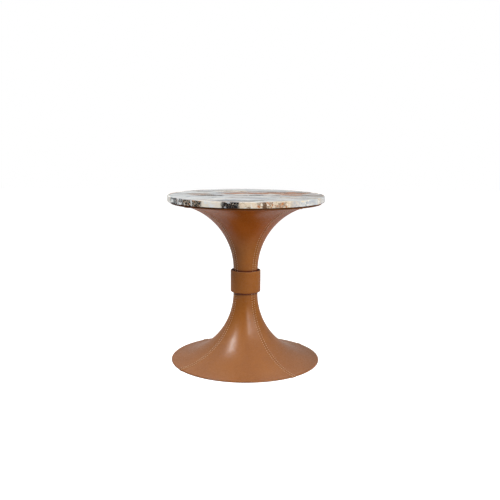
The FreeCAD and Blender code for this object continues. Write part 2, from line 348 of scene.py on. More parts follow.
# both trumpets share one outline, read from the neck out to the rim, round it and in behind it
trumpet = {
    "neckRadius": 39.4,     # mm, over the hide
    "flareRadius": 217.0,
    "hide": 1.3,
    "rimThickness": 4.9,
    "turnUnder": 14.0,
    "neckRows": 16,
    "flareRows": 104,
    "rimRows": 12,
    "underRows": 5,
    "middleColumns": 30,    # of each gore, between the rows beside its seams
    # degrees from +X
    "seams": {"lower": (38, 126, 213.5, 308), "upper": (42, 132, 222, 312)},
}


def trumpetOutline(settings, rimRadius, neckEnd):
    keys = ("neckRadius", "flareRadius", "hide", "rimThickness", "turnUnder")
    neck, flare, hide, rim, turnUnder = [settings[key] * millimetre for key in keys]
    centre = neck + flare
    middle = flare + rim / 2
    rimTurn = math.acos((centre + rim / 2 - rimRadius) / middle)
    centreHeight = middle * math.sin(rimTurn) + rim / 2
    underTurn = rimTurn - turnUnder / (flare + rim)

    def onFlare(distance, turn):
        return Vector((centre - distance * math.cos(turn), centreHeight - distance * math.sin(turn)))

    pairs = []
    for height in np.linspace(neckEnd, centreHeight, settings["neckRows"], endpoint=False):
        pairs.append((Vector((neck, height)), Vector((neck - hide, height))))
    for turn in np.linspace(0, rimTurn, settings["flareRows"]):
        pairs.append((onFlare(flare, turn), onFlare(flare + hide, turn)))
    inward = (math.cos(rimTurn), math.sin(rimTurn))
    outward = (math.sin(rimTurn), -math.cos(rimTurn))
    rimCentre = onFlare(middle, rimTurn)
    pairs += halfRound(rimCentre, inward, outward, rim / 2, rim / 2 - hide, settings["rimRows"])
    for turn in np.linspace(rimTurn, underTurn, settings["underRows"] + 1)[1:]:
        pairs.append((onFlare(flare + rim, turn), onFlare(flare + rim - hide, turn)))
    return Outline([pair[0] for pair in pairs], [pair[1] for pair in pairs])


# what sewing does to the hide, by distance from the seam line in mm
seam = {
    "columns": (0.03, 0.4, 0.8, 1.3, 2.0, 3.0, 4.0, 4.7, 5.4, 6.4, 7.6, 9.0, 10.6, 12.6),
    "valleyDepth": 0.7,
    "valleyWidth": 0.55,
    "buttDepth": 0.7,         # of the valley, where the edges only meet
    "burnish": 0.55,          # how dark the seam line is
    "burnishWidth": 0.8,
    # darker rims: on the upper, painted shade in the gap under the stone; on the lower, a darker edge
    "rimDarkening": {"lower": 0.15, "upper": 0.9},
    # painted shade on the neck beside the collar's end: full up to the first distance, gone from the second
    "paintedCollarShade": {"lower": (3.5, 7.5), "upper": (1.5, 4.5)},
    "rowDarkening": 0.35,       # the dent that each row of stitches lies in
    "ridge": 0.45,            # two thicknesses lie under the edge
    "ridgeAtRim": 1.2,
    "ridgeWidth": (6.6, 11.5),
    "rimPart": (0.86, 0.95),  # shares of the way from the neck between which it rises
    "row": 4.5,               # from the seam to each row of stitches
    "grooveDepth": 0.28,
    "grooveWidth": 0.75,
    "wave": 0.14,             # slow unevenness of the hide
    "waveLength": 55.0,
    "underside": 0.3,         # most that the hide may stand out below the rim
    "downFrom": -0.8,         # height of the normal where the underside of the rim begins
    "stitchTo": -0.4,         # and where the rows of stitches end
}


def smoothStep(low, high, value):
    share = np.clip((value - low) / (high - low), 0, 1)
    return share * share * (3 - 2 * share)


def sewnRelief(distance, alongShare):
    # how far the face stands out, in metres, for distances from the seam in metres
    d = np.abs(distance) / millimetre
    ridge = seam["ridge"] + (seam["ridgeAtRim"] - seam["ridge"]) * smoothStep(*seam["rimPart"], alongShare)
    height = ridge * (1 - smoothStep(*seam["ridgeWidth"], d))
    height = height - seam["grooveDepth"] * np.exp(-((d - seam["row"]) / seam["grooveWidth"]) ** 2)
    height = height - seam["valleyDepth"] * np.exp(-(d / seam["valleyWidth"]) ** 2)
    return height * millimetre


def buttedRelief(distance, alongShare):
    # the same where two edges only meet, without stitches
    d = np.abs(distance) / millimetre
    return -seam["buttDepth"] * seam["valleyDepth"] * np.exp(-(d / seam["valleyWidth"]) ** 2) * millimetre


def newObject(name, vertices, faces, material, sharpAngle=40):
    mesh = bpy.data.meshes.new(name)
    mesh.from_pydata(vertices, [], faces)
    mesh.validate()
    shell = bmesh.new()
    shell.from_mesh(mesh)
    bmesh.ops.recalc_face_normals(shell, faces=shell.faces)
    shell.to_mesh(mesh)
    shell.free()
    mesh.polygons.foreach_set("use_smooth", [True] * len(mesh.polygons))
    mesh.set_sharp_from_angle(angle=math.radians(sharpAngle))
    mesh.materials.append(material)
    made = bpy.data.objects.new(name, mesh)
    bpy.context.scene.collection.objects.link(made)
    return made


def hideStrip(name, outline, level, way, start, sweep, middleColumns, relief, material, darker):
    # one closed piece of hide: face, back and cut edges, between two seams; darker adds to its darkening along it,
    # worn edges and painted shade
    count = len(outline.along)
    radius = outline.face[:, 0]
    nearSeam = np.array(seam["columns"]) * millimetre / radius[:, None]
    share = np.linspace(0, 1, middleColumns + 1)[1:-1]
    first, last = nearSeam[:, -1:], sweep - nearSeam[:, -1:]
    offset = np.hstack((nearSeam, first + (last - first) * share, sweep - nearSeam[:, ::-1]))
    distance = np.minimum(offset, sweep - offset) * radius[:, None]
    alongShare = (outline.along / outline.length)[:, None]
    lift = relief(distance, alongShare)
    azimuth = start + offset
    wave = seam["wave"] * millimetre
    spread = 1000 / seam["waveLength"]
    for row in range(count):
        for column in range(offset.shape[1]):
            angle = azimuth[row, column]
            x, y = radius[row] * math.cos(angle), radius[row] * math.sin(angle)
            spot = Vector((x, y, level + way * outline.face[row, 1])) * spread
            lift[row, column] += wave * noise.noise(spot)
    facesDown = outline.normal[:, 1:] < seam["downFrom"]
    lift = np.where(facesDown, np.minimum(lift, seam["underside"] * millimetre), lift)
    faceRadius = radius[:, None] + outline.normal[:, :1] * lift
    faceHeight = outline.face[:, 1:] + outline.normal[:, 1:] * lift
    backRadius = np.broadcast_to(outline.back[:, :1], lift.shape)
    backHeight = np.broadcast_to(outline.back[:, 1:], lift.shape)
    rings = []
    for r, h in ((faceRadius, faceHeight), (backRadius, backHeight)):
        rings.append(np.stack((r * np.cos(azimuth), r * np.sin(azimuth), level + way * h), -1))
    loop = np.concatenate((rings[0], rings[1][::-1])).transpose(1, 0, 2)
    columns, around = loop.shape[:2]
    faces = []
    for column in range(columns - 1):
        for k in range(around):
            a, b = column * around + k, column * around + (k + 1) % around
            faces.append((a, b, b + around, a + around))
    for column in (0, columns - 1):
        base = column * around
        for k in range(count - 1):
            faces.append((base + k, base + k + 1, base + around - 2 - k, base + around - 1 - k))
    made = newObject(name, loop.reshape(-1, 3).tolist(), faces, material)
    dark = seam["burnish"] * np.exp(-(distance / millimetre / seam["burnishWidth"]) ** 2)
    if relief is sewnRelief:
        fromRow = (distance / millimetre - seam["row"]) / seam["grooveWidth"]
        dark = dark + seam["rowDarkening"] * np.exp(-fromRow ** 2)
    burnish = dark + np.broadcast_to(darker, distance.shape)
    values = np.concatenate((burnish, burnish[::-1])).T.reshape(-1)
    made.data.attributes.new("burnish", "FLOAT", "POINT").data.foreach_set("value", values.astype(np.float32))
    return made


# stitches: one bead of thread from hole to hole
stitch = {
    "pitch": 7.6,     # mm
    "length": 4.9,
    "radius": 0.52,
    "lift": 0.30,
    "sink": 0.45,     # how deep the ends go into their holes
    "slant": 0.25,
    "slantSpread": 0.2,
    "lengthSpread": (0.96, 1.03),
    "rowLead": 0.24,  # of the pitch: how far the stitches of one row are ahead of the other's
    "endSize": 0.30,
    "bluntness": 5,
    "sides": 8,
    "rings": 9,
}


def stitchRows(name, outline, level, way, seamAngle, begin, end, relief, material):
    # every stitch of one seam, two rows, as closed beads in one object
    chance = random.Random(name)
    size = {key: stitch[key] * millimetre for key in ("pitch", "length", "radius", "lift", "sink", "slant")}
    share = np.linspace(0, 1, stitch["rings"])
    swell = (1 - np.abs(2 * share - 1) ** stitch["bluntness"]) ** 0.5
    swell[[0, -1]] = stitch["endSize"]
    sides, rings = stitch["sides"], stitch["rings"]
    vertices, faces = [], []
    for side in (-1, 1):
        row = side * seam["row"] * millimetre
        first = end - size["length"] - (side + 1) / 2 * stitch["rowLead"] * size["pitch"]
        for start in np.arange(first, begin, -size["pitch"]):
            shift = chance.uniform(-stitch["slantSpread"], stitch["slantSpread"]) * size["slant"]
            along = start + share * size["length"] * chance.uniform(*stitch["lengthSpread"])
            across = row + shift + size["slant"] * (share - 0.5)
            r, h, normalR, normalH = outline.at(along)
            rise = relief(across, along / outline.length) - size["sink"]
            rise = rise + (size["lift"] + size["sink"]) * np.sin(math.pi * share) ** 0.5
            azimuth = seamAngle + across / r
            r, h = r + normalR * rise, h + normalH * rise
            centre = np.stack((r * np.cos(azimuth), r * np.sin(azimuth), level + way * h), -1)
            up = np.stack((normalR * np.cos(azimuth), normalR * np.sin(azimuth), way * normalH), -1)
            forward = np.gradient(centre, axis=0)
            sideways = np.cross(forward, up)
            sideways /= np.linalg.norm(sideways, axis=1)[:, None]
            base = len(vertices)
            for k in range(sides):
                angle = 2 * math.pi * k / sides
                reach = math.cos(angle) * sideways + math.sin(angle) * up
                vertices.extend((centre + (size["radius"] * swell)[:, None] * reach).tolist())
            for k in range(sides):
                here, there = base + k * rings, base + (k + 1) % sides * rings
                faces.extend((here + j, here + j + 1, there + j + 1, there + j) for j in range(rings - 1))
            faces.append([base + k * rings for k in range(sides)])
            faces.append([base + k * rings + rings - 1 for k in range(sides)])
    return newObject(name, vertices, faces, material, sharpAngle=70)


rimBox = {half: boxOf(goreNames[half]) for half in halves}
neckEnd = rimBox["lower"][1].z - rimBox["lower"][0].z
trumpetLine = trumpetOutline(trumpet, rimBox["lower"][1].x, neckEnd)
rimShare = np.zeros(len(trumpetLine.along))
rimShare[trumpet["neckRows"] + trumpet["flareRows"] - 1:] = 1
collarLow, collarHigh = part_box("collar_leather")
collarEnds = {"lower": collarLow.z, "upper": collarHigh.z}
lastStitch = trumpetLine.along[np.argmax(trumpetLine.normal[:, 1] < seam["stitchTo"])]
# height of each trumpet's mouth, and which way its neck lies
levels = {"lower": (rimBox["lower"][0].z, 1), "upper": (rimBox["upper"][1].z, -1)}
print("outline of a trumpet,", round(trumpetLine.length / millimetre), "mm long")

for half, (level, way) in levels.items():
    starts = [math.radians(turn) for turn in trumpet["seams"][half]]
    ends = starts[1:] + [starts[0] + 2 * math.pi]
    fromCollar = way * (collarEnds[half] - level) - trumpetLine.face[:, 1]
    paintedCollarShade = 2 * (1 - smoothStep(*seam["paintedCollarShade"][half], fromCollar / millimetre))
    # painted shade: on the upper rim under the stone, and beside the collar's ends
    darker = (seam["rimDarkening"][half] * rimShare + paintedCollarShade)[:, None]
    for count, name in enumerate(goreNames[half]):
        start = starts[count]
        gore = hideStrip(half + "_gore_" + str(count + 1), trumpetLine, level, way, start, ends[count] - start,
                         trumpet["middleColumns"], sewnRelief, hideMaterial, darker)
        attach(gore, "root")
        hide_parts(name)
        rows = stitchRows(half + "_stitches_" + str(count + 1), trumpetLine, level, way, start, 0.0, lastStitch,
                          sewnRelief, threadFinish)
        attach(rows, "root")
    print(half, "trumpet dressed")


# the collar's wrap: up the outside, over both ends and a little way in, butted at the back
collar = {
    "hide": 1.3,     # mm
    "between": 2.7,  # the ring and its glue, between the two layers of hide
    "turnIn": 12.0,
    "rows": 24,
    "endRows": 12,
    "insideRows": 4,
    "columns": 120,
    "seam": 90.0,    # degrees from +X, at the back
    "inside": 1.2,   # painted shade on the hide that is turned in, given as its darkening
    "insideBetween": (1.6, 3.6),
}


def collarOutline(settings, radius, low, high):
    hide, between, turnIn = [settings[key] * millimetre for key in ("hide", "between", "turnIn")]
    end = between / 2 + hide
    middle = radius - end
    inside = middle - end
    lowEnd, topEnd = low + end, high - end

    def straight(r, back, heights):
        return [(Vector((r, height)), Vector((back, height))) for height in heights]

    pairs = straight(inside, inside + hide, np.linspace(lowEnd + turnIn, lowEnd, settings["insideRows"] + 1))
    pairs += halfRound((middle, lowEnd), (-1, 0), (0, -1), end, end - hide, settings["endRows"])
    pairs += straight(radius, radius - hide, np.linspace(lowEnd, topEnd, settings["rows"] + 1)[1:])
    pairs += halfRound((middle, topEnd), (1, 0), (0, 1), end, end - hide, settings["endRows"])
    pairs += straight(inside, inside + hide, np.linspace(topEnd, topEnd - turnIn, settings["insideRows"] + 1)[1:])
    return Outline([pair[0] for pair in pairs], [pair[1] for pair in pairs])


collarLine = collarOutline(collar, collarHigh.x, collarLow.z, collarHigh.z)
# painted shade over the collar's ends and inside, from a little in from its outer face
turnedIn = smoothStep(*collar["insideBetween"], (collarHigh.x - collarLine.face[:, :1]) / millimetre)
wrap = hideStrip("collar_wrap", collarLine, 0, 1, math.radians(collar["seam"]), 2 * math.pi, collar["columns"],
                 buttedRelief, collarMaterial, collar["inside"] * turnedIn)
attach(wrap, "root")
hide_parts("collar_leather")
print("collar wrapped")


# polished stone: pale clouds, streaks of rust and ink, and patches of mosaic round the edge
stone = {
    "colours": {
        "white": (0.54, 0.55, 0.548),
        "blueGrey": (0.27, 0.293, 0.31),
        "cream": (0.525, 0.44, 0.335),
        "ivory": (0.56, 0.52, 0.45),
        "pearl": (0.36, 0.37, 0.385),
        "tan": (0.22, 0.155, 0.105),
        "rust": (0.30, 0.104, 0.030),
        "brown": (0.085, 0.042, 0.021),
        "ink": (0.042, 0.050, 0.054),
        "black": (0.006, 0.006, 0.007),
        # painted shade: the underside, dark and reddish, darkens the gap under the slab
        "underside": (0.075, 0.026, 0.010),
    },
    "roughness": 0.42,
    "roughnessSpread": (-0.04, 0.05),
    "polish": 60,                      # how close the duller places lie
    "gloss": 0.03,
    "paintedTopShade": 0.79,                  # painted shade: the top is darkened a little against the edge, for how it is lit
    "radius": 250.0,                   # mm
    # slow noise drawn out along X: how close it lies in X, Y and Z, its turn, detail, roughness and warp
    "fields": {
        "clouds": ((5, 13, 13), 0, 5, 0.6, 0.9),
        "blueDrift": ((7, 30, 30), 0, 4, 0.65, 0.7),
        "tanDrift": ((9, 34, 34), 7, 4, 0.65, 0.7),
        "lines": ((8, 42, 42), -5, 5, 0.6, 1.2),
        "fibre": ((16, 60, 60), -8, 6, 0.7, 0.8),
    },
    "cloudColours": ((0.32, "cream"), (0.42, "white"), (0.50, "blueGrey"), (0.56, "white"), (0.64, "white"),
                     (0.74, "tan")),
    "drifts": (("blueDrift", "blueGrey", 0.50, 0.62), ("tanDrift", "tan", 0.55, 0.64)),
    "driftShare": 0.7,
    "lineBetween": (0.003, 0.018),
    "lineShare": 0.55,
    # how each place is pushed about: how close the pushes lie, and how far they go along X, Y and Z, in metres
    "pushes": {
        "grains": ((70, (0.012, 0.012, 0.008)), (260, (0.005, 0.005, 0.005))),
        "streaks": ((22, (0.050, 0.022, 0.0)), (130, (0.014, 0.008, 0.004))),
        "edge": ((120, (0.012, 0.0, 0.0)),),
    },
    "crystal": (900, 3, 0.7),
    "crystalShare": 0.12,
    "crystalDepth": 0.01,
    "crystalStrength": 0.3,
    "undersideShadeBetween": (-0.5, -0.1),  # painted shade below, by the height of the normal
    # pieces of one colour each: their size in mm, the veins between them, and each colour from its share on
    "mosaics": {
        "flecked": (8.5, "white", 0.11, ((0.0, "black"), (0.40, "ink"), (0.56, "brown"), (0.64, "black"),
                                         (0.84, "white"), (0.95, "pearl"))),
        "umber": (7.0, "cream", 0.08, ((0.0, "black"), (0.38, "brown"), (0.56, "ink"), (0.72, "tan"),
                                       (0.82, "rust"), (0.88, "ivory"), (0.93, "black"))),
        "coal": (8.0, "tan", 0.045, ((0.0, "black"), (0.66, "ink"), (0.80, "blueGrey"), (0.86, "black"),
                                     (0.95, "ivory"))),
        "warm": (6.5, "cream", 0.07, ((0.0, "rust"), (0.14, "cream"), (0.34, "tan"), (0.60, "brown"),
                                      (0.68, "rust"), (0.77, "ivory"), (0.84, "tan"))),
        "ember": (6.5, "tan", 0.05, ((0.0, "rust"), (0.58, "tan"), (0.65, "rust"), (0.86, "brown"),
                                     (0.93, "cream"))),
        "pale": (16.0, "ivory", 0.20, ((0.0, "ivory"), (0.40, "cream"), (0.55, "white"), (0.88, "ivory"))),
        "sand": (12.0, "tan", 0.05, ((0.0, "cream"), (0.58, "ivory"), (0.70, "cream"), (0.88, "tan"))),
        "frost": (9.0, "ivory", 0.10, ((0.0, "pearl"), (0.34, "ivory"), (0.44, "white"), (0.58, "cream"),
                                       (0.72, "pearl"), (0.90, "blueGrey"))),
    },
    "veinCore": 0.2,                   # of a vein's width, where its colour is full
    "veinShare": 0.75,
    "fraying": 2.6,
    "frayedBetween": (0.92, 1.02),     # of a streak's half size
    "streakHeight": 10.0,              # metres, so the streaks run right through the slab
    # on the top: colour or mosaic, place from the axis and half sizes in mm, strength
    "streaks": (
        ("tan", -154, 32, 44, 20, 0.9), ("ember", -140, -8, 30, 12, 1.0), ("coal", -108, -26, 50, 15, 1.0),
        ("umber", -115, -6, 22, 10, 1.0), ("coal", 32, -15, 34, 13, 1.0), ("ember", -40, 62, 50, 26, 1.0),
        ("ember", 40, 64, 56, 32, 1.0), ("coal", 86, 98, 20, 15, 1.0), ("ember", 148, 72, 76, 52, 1.0),
        ("umber", 190, 98, 28, 18, 1.0), ("umber", 125, 88, 14, 24, 0.9), ("coal", 106, -5, 19, 11, 1.0),
        ("ember", 148, -5, 42, 14, 1.0), ("coal", 191, -4, 19, 12, 1.0), ("tan", 218, -14, 24, 14, 0.6),
        ("sand", 142, -88, 46, 20, 0.8), ("tan", -8, -92, 62, 13, 0.40), ("coal", -25, -202, 88, 12, 0.8),
        ("tan", -62, -222, 96, 13, 0.55), ("sand", 130, -226, 84, 28, 1.0),
        ("tan", -119, -220, 24, 18, 0.9), ("tan", 30, 118, 68, 14, 0.9), ("coal", -74, 74, 24, 9, 0.9),
        ("sand", -40, 150, 50, 22, 0.9), ("umber", 60, 178, 46, 10, 0.5), ("coal", -150, 108, 32, 8, 0.6),
        ("white", 0, 218, 170, 42, 0.55), ("white", -196, 104, 44, 34, 0.50),
    ),
    # round the front of the edge, later ones on top: colour or mosaic, place across, half width in mm, strength
    "edgePatches": (
        ("pale", -243, 14, 1.0), ("flecked", -207, 25, 1.0), ("umber", -157, 35, 1.0), ("pale", -99, 32, 1.0),
        ("white", -204, 1.8, 0.9), ("white", -160, 1.8, 0.85), ("coal", -44, 29, 1.0), ("sand", 6, 27, 1.0),
        ("pale", 24, 11, 1.0), ("warm", 68, 40, 1.0), ("brown", 53, 6, 0.90), ("warm", 112, 16, 0.9),
        ("sand", 130, 12, 0.9), ("frost", 182, 48, 1.0), ("sand", 224, 8, 0.9), ("frost", 241, 10, 1.0),
        ("tan", 84, 13, 0.22), ("tan", 144, 15, 0.22), ("blueGrey", 142, 14, 0.30), ("blueGrey", 203, 16, 0.55),
        ("ink", -178, 12, 0.25), ("pearl", 236, 14, 0.50), ("pearl", -243, 10, 0.35),
    ),
    "patchBetween": (0.80, 1.10),      # of a patch's half size
    "edgeDepth": 5.0,                  # how far the patches reach in over the top
    # round the back of the edge by chance: each begins where the scatter rises through its two values
    "backPatches": (("sand", 0.38, 0.40), ("warm", 0.46, 0.48), ("coal", 0.54, 0.56), ("frost", 0.60, 0.62)),
    "backDepth": (5.0, 9.0),
    "scatter": (13, 3, 0.5, 0.4),
}


def mosaic(tree, spot, settings, name):
    # small pieces, each of one colour, with veins between them
    size, vein, width, stops = settings["mosaics"][name]
    colours = settings["colours"]
    tint = cells(tree, spot, 1000 / size, output="Color")
    share = addNode(tree, "ShaderNodeSeparateColor", {"Color": tint}).outputs[0]
    pieces = ramp(tree, share, [(start, colours[kind]) for start, kind in stops], "CONSTANT")
    edge = cells(tree, spot, 1000 / size, "DISTANCE_TO_EDGE")
    veins = remap(tree, edge, settings["veinCore"] * width, width, settings["veinShare"], 0)
    return blendColour(tree, veins, pieces, colours[vein])


def patchMask(tree, spot, centre, half, fade, frayed=None):
    # full inside an ellipsoid and nothing outside; fade is the two shares of the way out that it fades between
    inputs = {"Vector": spot, "Location": centre, "Scale": half}
    inside = addNode(tree, "ShaderNodeMapping", inputs, vector_type="TEXTURE").outputs["Vector"]
    reach = lengthOf(tree, inside)
    if frayed:
        reach = combine(tree, "ADD", reach, frayed)
    return remap(tree, reach, *fade, 1, 0)


def warped(tree, spot, pushes):
    # the place, pushed about by slow noise
    for scale, amount in pushes:
        inputs = {"Vector": spot, "Scale": scale, "Detail": 3.0}
        push = addNode(tree, "ShaderNodeTexNoise", inputs).outputs["Color"]
        for operation, second in (("SUBTRACT", (0.5, 0.5, 0.5)), ("MULTIPLY", amount), ("ADD", spot)):
            push = addNode(tree, "ShaderNodeVectorMath", {0: push, 1: second}, operation=operation).outputs[0]
        spot = push
    return spot


def edgePlace(tree, spot, radius):
    # across, depth in from the edge, and 1 behind the axis, out of reach of the patches in front
    out, parts = fromAxis(tree, spot)
    behind = combine(tree, "GREATER_THAN", parts["Y"])
    depth = combine(tree, "SUBTRACT", radius, out)
    return join(tree, parts["X"], depth, behind)


def stoneMaterial(settings):
    material, tree, shader = startMaterial("mosaicStone", settings["roughness"])
    shader.inputs["Specular IOR Level"].default_value = settings["gloss"]
    colours = dict(settings["colours"])
    spot = place(tree)
    fields = {}
    for name, (stretch, turn, detail, rough, warp) in settings["fields"].items():
        fields[name] = noiseField(tree, place(tree, stretch, turn), 1.0, detail, rough, warp)
    colour = ramp(tree, fields["clouds"], [(start, colours[kind]) for start, kind in settings["cloudColours"]])
    for name, kind, low, high in settings["drifts"]:
        drift = remap(tree, fields[name], low, high, 0, settings["driftShare"])
        colour = blendColour(tree, drift, colour, colours[kind])
    line = combine(tree, "ABSOLUTE", combine(tree, "SUBTRACT", fields["lines"], 0.5))
    line = remap(tree, line, *settings["lineBetween"], settings["lineShare"], 0)
    colour = blendColour(tree, line, colour, colours["ink"])
    grains = warped(tree, spot, settings["pushes"]["grains"])
    colours.update({kind: mosaic(tree, grains, settings, kind) for kind in settings["mosaics"]})
    ragged = warped(tree, spot, settings["pushes"]["streaks"])
    frayed = combine(tree, "MULTIPLY", combine(tree, "SUBTRACT", fields["fibre"], 0.5), settings["fraying"])
    for kind, x, y, halfX, halfY, strength in settings["streaks"]:
        centre = (x * millimetre, y * millimetre, 0)
        half = (halfX * millimetre, halfY * millimetre, settings["streakHeight"])
        mask = patchMask(tree, ragged, centre, half, settings["frayedBetween"], frayed)
        colour = layOver(tree, mask, strength, colour, colours[kind])
    # painted shade over the top's colours
    colour = blendColour(tree, 1.0, colour, [settings["paintedTopShade"]] * 3, "MULTIPLY")
    inward = edgePlace(tree, warped(tree, spot, settings["pushes"]["edge"]), settings["radius"] * millimetre)
    for kind, x, halfX, strength in settings["edgePatches"]:
        half = (halfX * millimetre, settings["edgeDepth"] * millimetre, 0.5)  # nothing behind the axis is inside
        mask = patchMask(tree, inward, (x * millimetre, 0, 0), half, settings["patchBetween"])
        colour = layOver(tree, mask, strength, colour, colours[kind])
    parts = split(tree, inward)
    low, high = [depth * millimetre for depth in settings["backDepth"]]
    back = combine(tree, "MULTIPLY", remap(tree, parts["Y"], low, high, 1, 0), parts["Z"])
    scatter = noiseField(tree, spot, *settings["scatter"])
    for kind, low, high in settings["backPatches"]:
        colour = layOver(tree, remap(tree, scatter, low, high), back, colour, colours[kind])
    crystal = noiseField(tree, spot, *settings["crystal"])
    shade = remap(tree, crystal, *noiseRange, settings["crystalShare"], 0)
    colour = blendColour(tree, shade, colour, colours["ink"])
    # painted shade on the faces that look down
    undersideShade = remap(tree, facingUp(tree), *settings["undersideShadeBetween"], 1, 0)
    colour = blendColour(tree, undersideShade, colour, colours["underside"])
    tree.links.new(colour, shader.inputs["Base Color"])
    varyRoughness(tree, shader, noiseField(tree, spot, settings["polish"]), settings["roughnessSpread"])
    addBump(tree, shader, crystal, settings["crystalDepth"] * millimetre, settings["crystalStrength"])
    return material


# inner metalwork: turned, spun and plated pieces with fine rings, under a blotchy film
metals = {
    "spunSteel": {"colour": (0.46, 0.46, 0.47), "roughness": 0.38, "rings": 1500, "bump": 0.02},
    "ringAluminium": {"colour": (0.80, 0.80, 0.81), "roughness": 0.30, "rings": 2600, "bump": 0.015},
    "zincSteel": {"colour": (0.66, 0.67, 0.70), "roughness": 0.34, "rings": 400, "bump": 0.01},
}
metalFilm = {
    "field": (45, 4, 0.6, 0.5),
    "between": (0.35, 0.7),
    "tone": 0.82,     # of the metal's own colour
    "roughnessSpread": (-0.06, 0.12),
    "bumpStrength": 0.6,
}


def metalMaterial(name, settings, film):
    material, tree, shader = startMaterial(name, settings["roughness"], 1.0)
    spot = place(tree)
    out, parts = fromAxis(tree, spot)
    rings = noiseField(tree, join(tree, out, parts["Z"]), settings["rings"], 2, 0.6)
    pale = settings["colour"]
    blotches = remap(tree, noiseField(tree, spot, *film["field"]), *film["between"])
    colour = blendColour(tree, blotches, pale, [film["tone"] * part for part in pale])
    tree.links.new(colour, shader.inputs["Base Color"])
    varyRoughness(tree, shader, rings, film["roughnessSpread"])
    addBump(tree, shader, rings, settings["bump"] * millimetre, film["bumpStrength"])
    return material


# birch plywood: grain on the faces, plies down the sides
plywood = {
    "face": (0.66, 0.50, 0.33),
    "grain": (0.50, 0.34, 0.20),
    "dark": (0.33, 0.20, 0.11),
    "stretch": (60, 4, 60),  # the grain runs along Y
    "grainField": (3.0, 5, 0.65, 1.2),
    "grainBetween": (0.35, 0.65),
    "ply": 1.5,              # mm
    "plyBetween": (0.46, 0.54),
    "plyShare": 0.75,
    "sideBetween": (0.75, 0.98),
    "roughness": 0.6,
    "bump": 0.05,
    "bumpStrength": 0.5,
}


def plywoodMaterial(settings):
    material, tree, shader = startMaterial("birchPlywood", settings["roughness"])
    grain = noiseField(tree, place(tree, settings["stretch"]), *settings["grainField"])
    shade = remap(tree, grain, *settings["grainBetween"])
    colour = blendColour(tree, shade, settings["face"], settings["grain"])
    height = split(tree, place(tree))["Z"]
    layer = combine(tree, "FRACT", combine(tree, "DIVIDE", height, 2 * settings["ply"] * millimetre))
    upright = remap(tree, combine(tree, "ABSOLUTE", facingUp(tree)), *settings["sideBetween"], 1, 0)
    ply = remap(tree, layer, *settings["plyBetween"], 0, settings["plyShare"])
    colour = layOver(tree, ply, upright, colour, settings["dark"])
    tree.links.new(colour, shader.inputs["Base Color"])
    addBump(tree, shader, grain, settings["bump"] * millimetre, settings["bumpStrength"])
    return material


# castings, powder coat, rubber and silicone share one recipe: a tone, a finer tone and a bump
coats = {
    "primedCasting": {"pale": (0.075, 0.075, 0.080), "deep": (0.045, 0.045, 0.050), "roughness": 0.72,
                      "tone": 30, "grain": 700, "bump": 0.25},
    "powderCoat": {"pale": (0.024, 0.024, 0.025), "deep": (0.016, 0.016, 0.017), "roughness": 0.58,
                   "tone": 12, "grain": 1400, "bump": 0.05},
    "padRubber": {"pale": (0.034, 0.034, 0.034), "deep": (0.022, 0.022, 0.022), "roughness": 0.85,
                  "tone": 60, "grain": 2200, "bump": 0.05},
    "clearSilicone": {"pale": (0.72, 0.72, 0.71), "deep": (0.60, 0.60, 0.59), "roughness": 0.32,
                      "tone": 80, "grain": 500, "bump": 0.01, "clear": 0.6},
}
coatFinish = {"toneBetween": (0.35, 0.65), "roughnessSpread": (-0.05, 0.05), "bumpStrength": 0.6}


def coatMaterial(name, settings, finish):
    material, tree, shader = startMaterial(name, settings["roughness"])
    spot = place(tree)
    tone = noiseField(tree, spot, settings["tone"], 4, 0.6, 0.3)
    grain = noiseField(tree, spot, settings["grain"], 2, 0.6)
    shade = remap(tree, tone, *finish["toneBetween"])
    tree.links.new(blendColour(tree, shade, settings["pale"], settings["deep"]), shader.inputs["Base Color"])
    varyRoughness(tree, shader, tone, finish["roughnessSpread"])
    shader.inputs["Transmission Weight"].default_value = settings.get("clear", 0.0)
    addBump(tree, shader, grain, settings["bump"] * millimetre, finish["bumpStrength"])
    return material


def dress(names, material):
    for node in names:
        slots = nodes[node].data.materials
        slots.clear()
        slots.append(material)


dress(["stone_top"], stoneMaterial(stone))
metal = {name: metalMaterial(name, settings, metalFilm) for name, settings in metals.items()}
dress(["upper_shell", "lower_shell", "upper_hub", "lower_hub"], metal["spunSteel"])
dress(["collar_ring"], metal["ringAluminium"])
dress(["tie_rod", "top_washer", "top_nut", "base_washer", "base_nut", "locating_pins"], metal["zincSteel"])
dress(["top_board"], plywoodMaterial(plywood))
coat = {name: coatMaterial(name, settings, coatFinish) for name, settings in coats.items()}
dress(["ballast_plate"], coat["primedCasting"])
dress(["base_cover"], coat["powderCoat"])
dress(["stone_pads"], coat["clearSilicone"])
print("stone and inner pieces coloured")


def turned(name, rings, places, corners, material):
    # closed turned pieces, all alike: rings of (radius, height) in mm, with a cap at both ends
    vertices, faces = [], []
    angles = [2 * math.pi * corner / corners for corner in range(corners)]
    for x, y, z in places:
        base = len(vertices)
        for radius, height in rings:
            for corner, angle in enumerate(angles):
                reach = (radius[corner] if isinstance(radius, list) else radius) * millimetre
                across, along = reach * math.cos(angle), reach * math.sin(angle)
                vertices.append((x + across, y + along, z + height * millimetre))
        for ring in range(len(rings) - 1):
            for corner in range(corners):
                here, there = base + ring * corners + corner, base + ring * corners + (corner + 1) % corners
                faces.append((here, there, there + corners, here + corners))
        last = base + (len(rings) - 1) * corners
        faces.append([base + corner for corner in range(corners)])
        faces.append([last + corner for corner in range(corners)])
    return newObject(name, vertices, faces, material, sharpAngle=30)


def roundAbout(orbit, count, first, height):
    # evenly spaced places on a circle round the axis, the first at so many degrees from +X
    turns = [math.radians(first + 360 * place / count) for place in range(count)]
    return [(orbit * math.cos(turn), orbit * math.sin(turn), height) for turn in turns]


